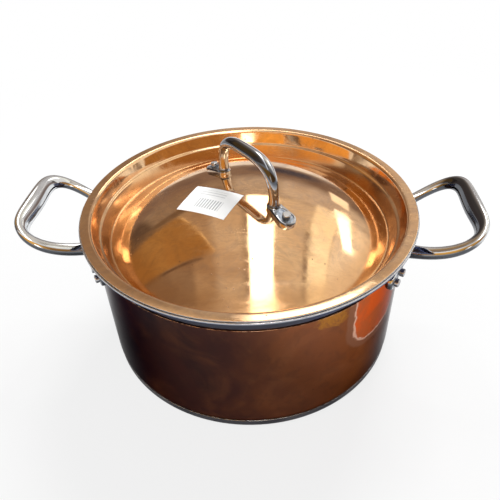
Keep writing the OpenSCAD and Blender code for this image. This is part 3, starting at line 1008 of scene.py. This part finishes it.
def lid_sheet(name, material):
    """Copper sheet of the lid, turned about the axis."""
    upper = lid_line()
    rim_from = len(upper) - CORNER_STEPS
    lower = lowered(upper[:rim_from], SKIN_T)
    lower.append(Vector((FLANGE_R, POT_H - SKIN_T)))
    mesh = bmesh.new()
    rings = [turned_ring(mesh, point) for point in upper[1:] + list(reversed(lower[1:]))]
    skin(mesh, rings)
    for ring, top in ((rings[0], upper[0]), (rings[-1], lower[0])):
        middle = mesh.verts.new(Vector((0, 0, top.y)) * MM)
        for k in range(TURN_STEPS):
            mesh.faces.new((middle, ring[k], ring[(k + 1) % TURN_STEPS]))
    return finished_piece(name, mesh, (material,))


# ---- surroundings -----------------------------------------------------------------------------

def set_camera():
    """Camera at the height and tilt at which the pot is seen."""
    data = bpy.data.cameras.new("view")
    data.sensor_fit = "HORIZONTAL"
    data.sensor_width = SENSOR_W
    data.lens = SENSOR_W * FOCAL_SHARE
    data.clip_start = 0.01
    data.clip_end = 50.0
    eye = linked("view", data)
    level = Vector((1, 0, 0))
    ahead = Vector((0, math.cos(VIEW_TILT), -math.sin(VIEW_TILT)))
    above = Vector((0, math.sin(VIEW_TILT), math.cos(VIEW_TILT)))
    right = level * math.cos(VIEW_ROLL) + above * math.sin(VIEW_ROLL)
    up = above * math.cos(VIEW_ROLL) - level * math.sin(VIEW_ROLL)
    axes = Matrix((right, up, -ahead)).transposed()
    turned = Matrix.Rotation(VIEW_TURN, 3, "Z") @ axes
    eye.matrix_world = Matrix.Translation(VIEW_PLACE) @ turned.to_4x4()
    bpy.context.scene.camera = eye


def mirrored_rays(tree, path):
    """1 for rays that metal or glass has sent on."""
    return calc(tree, "MAXIMUM", path["Is Glossy Ray"], path["Is Transmission Ray"])


def mixed_shader(tree, share, first, second):
    """Shader between two shaders."""
    return put(tree, "ShaderNodeMixShader", {0: share, 1: first, 2: second}).outputs[0]


def lay_floor():
    """Plain pale floor under the pot."""
    mesh = bmesh.new()
    bmesh.ops.create_circle(mesh, cap_ends=True, segments=96, radius=FLOOR_R)
    data = bpy.data.meshes.new("floor")
    mesh.to_mesh(data)
    mesh.free()
    data.materials.append(floor_finish())
    floor = linked("floor", data)
    floor.location.z = FLOOR_Z


def floor_finish():
    """Pale floor that runs out into white, and keeps the pot's shadow for the eye and for metal."""
    material, tree, shader, place = new_material("floor_finish")
    grain = noise(tree, place, scale=140.0, detail=4.0, roughness=0.6)
    tree.links.new(blend_of(tree, grain, FLOOR_LIGHT, FLOOR_DARK), shader.inputs["Base Color"])
    shader.inputs["Roughness"].default_value = 0.9
    shader.inputs["Specular IOR Level"].default_value = 0.1
    far = ranged(tree, vector_value(tree, "LENGTH", place), *FLOOR_FADE)
    path = put(tree, "ShaderNodeLightPath").outputs
    for_eye = calc(tree, "MULTIPLY", path["Is Camera Ray"], ranged(tree, far, 0.0, 1.0, NEAR_WHITE, 1.0))
    for_metal = calc(tree, "MULTIPLY", mirrored_rays(tree, path), far)
    share = calc(tree, "MAXIMUM", for_eye, for_metal)
    white = put(tree, "ShaderNodeEmission", {"Color": WHITE, "Strength": 1.0}).outputs[0]
    output = next(node for node in tree.nodes if node.type == "OUTPUT_MATERIAL")
    tree.links.new(mixed_shader(tree, share, shader.outputs[0], white), output.inputs["Surface"])
    return material


def background(tree, colour, strength):
    """Light that comes from all round."""
    return put(tree, "ShaderNodeBackground", {"Color": colour, "Strength": strength}).outputs[0]


def room_light():
    """White behind the pot, soft even light on it, and a room with windows in the metal."""
    world = bpy.data.worlds.new("room")
    bpy.context.scene.world = world
    world.use_nodes = True
    tree = world.node_tree
    tree.nodes.clear()
    feeds = {"Vector": put(tree, "ShaderNodeTexCoord").outputs["Generated"], "Angle": -VIEW_TURN}
    way = put(tree, "ShaderNodeVectorRotate", feeds, rotation_type="Z_AXIS").outputs[0]
    soft = background(tree, WHITE, SOFT_LIGHT)
    room = background(tree, room_in_metal(tree, way), 1.0)
    white = background(tree, WHITE, 1.0)
    path = put(tree, "ShaderNodeLightPath").outputs
    unseen = mixed_shader(tree, mirrored_rays(tree, path), soft, room)
    seen = mixed_shader(tree, path["Is Camera Ray"], unseen, white)
    put(tree, "ShaderNodeOutputWorld", {"Surface": seen})


# Patches of the room, the later ones over the earlier. Slant goes from left to right. Rise, in degrees,
# goes from 0 far behind the pot over 90 above it to 180 on the viewer's side. Each row has slant from and
# to, rise from and to, softness of slant and of rise, how far the patch leans, and its colour.
ROOM = (
    # low behind the pot: brown to the left, paler to the right
    (-9.0, -0.05, -20, 42, 0.10, 3.0, 0.0, (0.34, 0.27, 0.22)),
    (-9.0, -0.78, -20, 42, 0.06, 2.0, 0.0, (0.14, 0.10, 0.08)),
    (-1.80, -0.40, 36, 41, 0.05, 0.8, 0.0, (0.20, 0.14, 0.10)),
    (-0.10, 0.20, -20, 42, 0.06, 3.0, 0.0, (0.58, 0.53, 0.50)),
    (0.20, 9.0, -20, 40, 0.04, 4.0, 0.0, (0.72, 0.67, 0.64)),
    (1.20, 9.0, -20, 34, 0.10, 4.0, 0.0, (0.10, 0.09, 0.08)),
    (-9.0, 9.0, 4, 21, 0.1, 5.0, 0.0, (0.27, 0.20, 0.17)),
    (0.05, 0.36, 7, 14, 0.08, 2.0, 0.0, (0.09, 0.09, 0.13)),
    # above, to the left: brown wall, two paler strips and a gold board with a bright edge
    (-9.0, -0.04, 78, 112, 0.03, 1.5, 0.0, (0.32, 0.23, 0.17)),
    (-0.52, -0.28, 42, 112, 0.04, 3.0, 0.0, (0.48, 0.36, 0.26)),
    (-0.30, -0.04, 42, 112, 0.05, 3.0, 0.0, (0.70, 0.60, 0.50)),
    (-2.50, -0.814, 42, 77, 0.012, 0.8, 0.406, (0.42, 0.24, 0.09)),
    (-0.822, -0.808, 42, 77, 0.004, 0.8, 0.406, (1.10, 0.85, 0.50)),
    (-1.80, -0.42, 77.6, 79.4, 0.05, 0.5, 0.0, (0.16, 0.10, 0.07)),
    # above, to the right: pale wall with one darker post
    (0.18, 0.50, 40, 112, 0.03, 2.0, 0.0, (0.82, 0.74, 0.64)),
    (0.50, 0.76, 36, 112, 0.02, 2.0, 0.0, (1.35, 1.30, 1.12)),
    (0.76, 9.0, 34, 112, 0.03, 3.0, 0.0, (1.10, 1.05, 0.98)),
    (0.465, 0.515, 60, 108, 0.012, 2.0, 0.0, (0.40, 0.33, 0.28)),
    # on the viewer's side: pale above, orange, browner to the right, dark at the floor, one bright gap
    (-9.0, 9.0, 112, 136, 0.1, 2.0, 0.0, (1.00, 0.98, 0.95)),
    (-9.0, 0.35, 131, 178, 0.10, 3.0, 0.0, (1.03, 0.53, 0.13)),
    (0.30, 9.0, 131, 178, 0.10, 3.0, 0.0, (0.44, 0.22, 0.07)),
    (-9.0, 9.0, 178, 200, 0.1, 2.0, 0.0, (0.04, 0.04, 0.045)),
    (-0.10, 0.06, 158, 176, 0.008, 0.8, 0.0, (4.0, 3.9, 3.7)),
    # leaning window in two parts, and the broad window
    (0.33, 0.50, 17, 25, 0.012, 1.0, 0.57, (1.50, 1.42, 1.28)),
    (0.33, 0.50, 32, 62, 0.012, 1.0, 0.57, (4.2, 4.1, 3.9)),
    (-0.008, 0.19, 40, 126, 0.010, 0.8, 0.0, (5.0, 4.9, 4.7)),
)
ROOM_REST = (0.30, 0.24, 0.19, 1)
ROOM_GRAIN = (0.55, 0.5, 0.45, 1)
FLOOR_FROM = (0.09, 0.05)


def room_in_metal(tree, way):
    """Colours of the room by direction: the patches, slightly mottled, and white low down."""
    side, ahead, up = xyz(tree, way)
    upright = vector_value(tree, "LENGTH", vector_calc(tree, "MULTIPLY", (0, 1, 1), way))
    slant = calc(tree, "DIVIDE", side, upright)
    rise = calc(tree, "MULTIPLY", calc(tree, "ARCTAN2", up, ahead), math.degrees(1))
    tone = ROOM_REST
    for left, right, low, high, soft_slant, soft_rise, lean, colour in ROOM:
        moved = calc(tree, "MULTIPLY_ADD", rise, -lean / 60, slant)
        across = between(tree, moved, left, right, soft_slant)
        mask = calc(tree, "MULTIPLY", across, between(tree, rise, low, high, soft_rise))
        tone = blend_of(tree, mask, tone, colour + (1,))
    grain = noise(tree, way, scale=6.0, detail=4.0, roughness=0.6, distortion=0.8)
    tone = blend_of(tree, ranged(tree, grain, 0.35, 0.65, 0.0, 0.2), tone, ROOM_GRAIN, "MULTIPLY")
    return blend_of(tree, ranged(tree, up, *FLOOR_FROM), tone, WHITE)


def hang_lamp(name, place, size, power):
    """Large soft white lamp turned towards the pot, which metal does not mirror."""
    data = bpy.data.lights.new(name, "AREA")
    data.shape = "SQUARE"
    data.size = size
    data.energy = power
    lamp = linked(name, data)
    lamp.location = place
    lamp.rotation_euler = (LAMP_AIM - Vector(place)).to_track_quat("-Z", "Y").to_euler()
    lamp.visible_glossy = False


# ---- putting it together ----------------------------------------------------------------------

set_camera()

bright_copper = lid_copper()
handle_steel = polished_steel("handle_steel", HANDLE_STEEL, loops_painted_shade)
arch_steel = polished_steel("arch_steel", ARCH_STEEL, arch_painted_shade)
rivet_steel = polished_steel("rivet_steel", RIVET_STEEL, rivets_painted_shade)
hollow_steel = cast_face()

finishes = {
    "pot_body": turned_steel("pot_steel", POT_STEEL, painted_band_reflection),
    "copper_sleeve": wall_copper(),
    "base_disc": aluminium_core(),
    "base_cap": turned_steel("base_steel", SHADED_BASE_STEEL),
    "handle_left": handle_steel,
    "handle_right": handle_steel,
    "lid_skin": bright_copper,
    "lid_pan": turned_steel("lid_steel", LID_STEEL),
    "lid_handle": arch_steel,
    "lid_label": label_paper(),
}

for node_name, node_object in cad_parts.items():
    node_object.data.materials.clear()
    node_object.data.materials.append(finishes.get(node_name, rivet_steel))

for piece_name, turn, replaced in (
    ("loop_right", 0.0, "handle_right"),
    ("loop_left", math.pi, "handle_left"),
):
    loop = side_handle(piece_name, turn, (handle_steel, hollow_steel))
    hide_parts(replaced)
    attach(loop, "pot")

arch = lid_arch("lid_arch", (arch_steel, hollow_steel))
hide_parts("lid_handle")
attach(arch, "lid")

sheet = lid_sheet("lid_sheet", bright_copper)
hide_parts("lid_skin")
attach(sheet, "lid")

lay_floor()
room_light()
hang_lamp("lamp_back", (0.25, 0.85, 1.15), 0.6, 24.0)
hang_lamp("lamp_front", (-0.5, -0.9, 1.3), 1.2, 5.0)

bpy.context.scene.view_settings.view_transform = "Standard"
